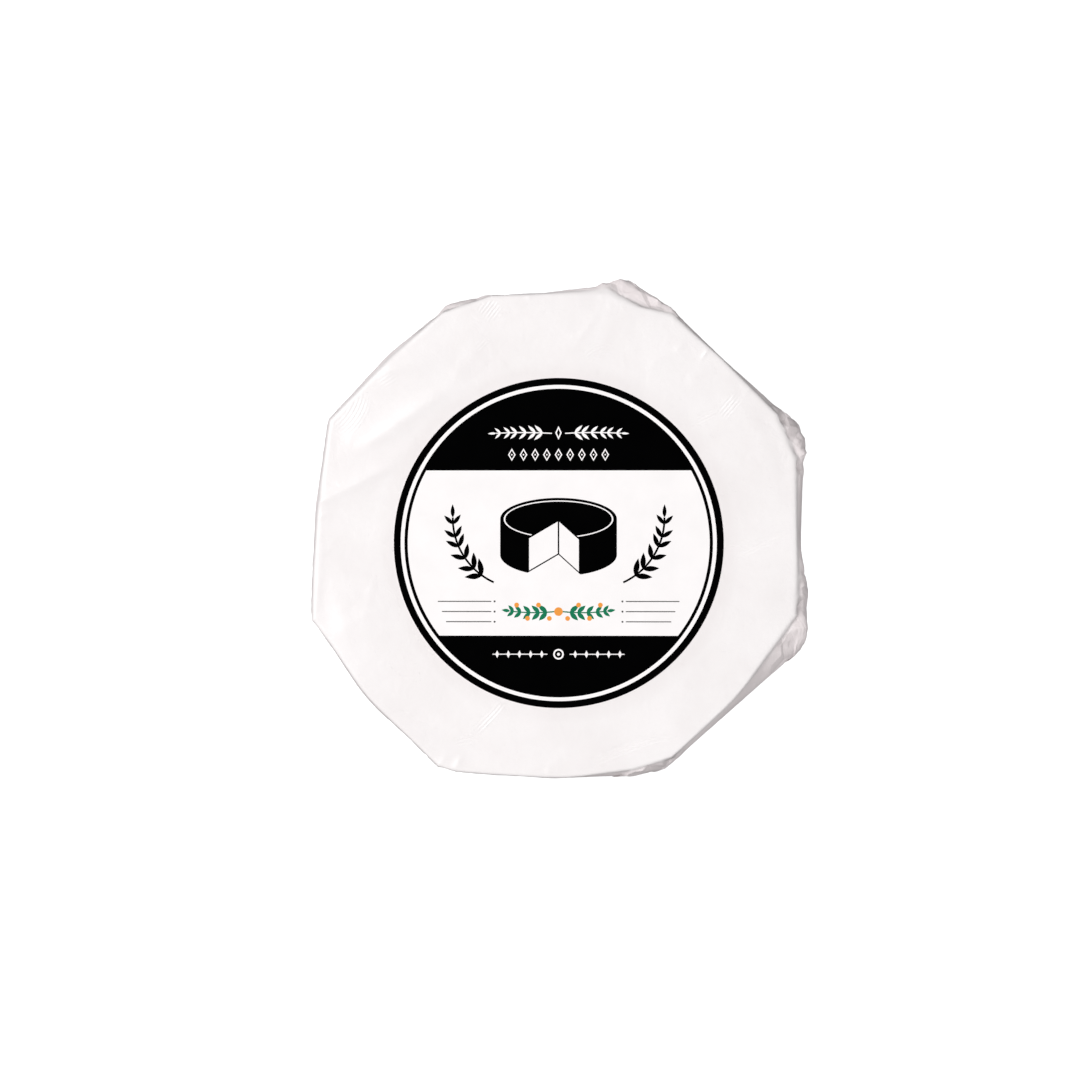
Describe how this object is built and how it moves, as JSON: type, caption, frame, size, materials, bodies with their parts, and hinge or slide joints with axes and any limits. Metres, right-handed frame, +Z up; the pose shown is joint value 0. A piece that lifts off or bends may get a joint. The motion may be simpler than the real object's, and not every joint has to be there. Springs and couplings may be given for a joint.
{
  "type": "brie wheel",
  "caption": "Whole brie wheel shut in folded white waxed paper, with a round black and white label on its top face.",
  "frame": {"origin": "on the wheel's axis, at the flat of the underside that it rests on", "axes": "+Z up, out of the labelled top face; +Y to the top of the label's print; +X to the right of it"},
  "size_m": [0.1971, 0.1988, 0.0376],
  "materials": {
    "waxed_paper": "satin",
    "label_paper": "satin"
  },
  "bodies": {
    "root": {"wrap": "waxed_paper", "label": "label_paper"}
  },
  "joints": []
}
